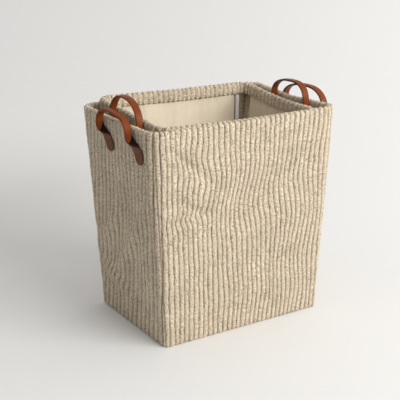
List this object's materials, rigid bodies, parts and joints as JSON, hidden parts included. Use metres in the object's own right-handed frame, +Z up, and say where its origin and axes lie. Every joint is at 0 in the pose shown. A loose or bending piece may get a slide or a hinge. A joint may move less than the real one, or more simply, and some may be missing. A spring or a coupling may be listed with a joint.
{
  "type": "fabric storage bin",
  "caption": "Nested tapered rectangular corduroy storage bins with lining, wire frame and leather loop handles on the end walls.",
  "frame": {"origin": "centre of the outer bin's underside, on the floor", "axes": "+Z up, long walls face -Y (front) and +Y (back), end walls with handles face -X (left) and +X (right)"},
  "size_m": [0.4052, 0.2558, 0.4175],
  "materials": {
    "corduroy": "wide-wale cotton corduroy, matt with soft pile",
    "lining": "smooth plain cotton cloth, matt",
    "board": "grey board",
    "coated_wire": "white coated steel wire, satin",
    "post_sleeve": "white plastic sleeve, satin",
    "leather": "tan-brown vegetable leather, satin",
    "cuff_thread": "beige sewing thread",
    "tab_thread": "brown sewing thread"
  },
  "bodies": {
    "outer_bin": {"outer_front_panel": "corduroy", "outer_back_panel": "corduroy", "outer_left_panel": "corduroy", "outer_right_panel": "corduroy", "outer_bottom_panel": "corduroy", "outer_base_board": "board", "outer_rim_wire": "coated_wire", "outer_base_wire": "coated_wire", "outer_post_front_left": "post_sleeve", "outer_post_front_right": "post_sleeve", "outer_post_back_left": "post_sleeve", "outer_post_back_right": "post_sleeve", "outer_front_lining": "lining", "outer_back_lining": "lining", "outer_left_lining": "lining", "outer_right_lining": "lining", "outer_floor_lining": "lining", "outer_cuff_thread": "cuff_thread", "outer_left_tabs": "leather", "outer_right_tabs": "leather", "outer_left_tab_threads": "tab_thread", "outer_right_tab_threads": "tab_thread"},
    "inner_bin": {"inner_front_panel": "corduroy", "inner_back_panel": "corduroy", "inner_left_panel": "corduroy", "inner_right_panel": "corduroy", "inner_bottom_panel": "corduroy", "inner_base_board": "board", "inner_rim_wire": "coated_wire", "inner_base_wire": "coated_wire", "inner_post_front_left": "post_sleeve", "inner_post_front_right": "post_sleeve", "inner_post_back_left": "post_sleeve", "inner_post_back_right": "post_sleeve", "inner_front_lining": "lining", "inner_back_lining": "lining", "inner_left_lining": "lining", "inner_right_lining": "lining", "inner_floor_lining": "lining", "inner_cuff_thread": "cuff_thread", "inner_left_tabs": "leather", "inner_right_tabs": "leather", "inner_left_tab_threads": "tab_thread", "inner_right_tab_threads": "tab_thread"},
    "outer_left_loop": {"outer_left_handle": "leather"},
    "outer_right_loop": {"outer_right_handle": "leather"},
    "inner_left_loop": {"inner_left_handle": "leather"},
    "inner_right_loop": {"inner_right_handle": "leather"}
  },
  "joints": [
    {"name": "inner_lift", "type": "slide", "parent": "outer_bin", "child": "inner_bin", "axis": [0, 0, 1], "range_m": [0, 0.4]},
    {"name": "outer_left_swing", "type": "hinge", "parent": "outer_bin", "child": "outer_left_loop", "pos_m": [-0.2026, -0.016, 0.3523], "axis": [0, -1, 0], "range_deg": [0, 110]},
    {"name": "outer_right_swing", "type": "hinge", "parent": "outer_bin", "child": "outer_right_loop", "pos_m": [0.2026, -0.019, 0.3523], "axis": [0, 1, 0], "range_deg": [0, 110]},
    {"name": "inner_left_swing", "type": "hinge", "parent": "inner_bin", "child": "inner_left_loop", "pos_m": [-0.17005, -0.01, 0.39], "axis": [0, -1, 0], "range_deg": [-30, 30]},
    {"name": "inner_right_swing", "type": "hinge", "parent": "inner_bin", "child": "inner_right_loop", "pos_m": [0.16465, -0.017, 0.39], "axis": [0, 1, 0], "range_deg": [-30, 30]}
  ]
}
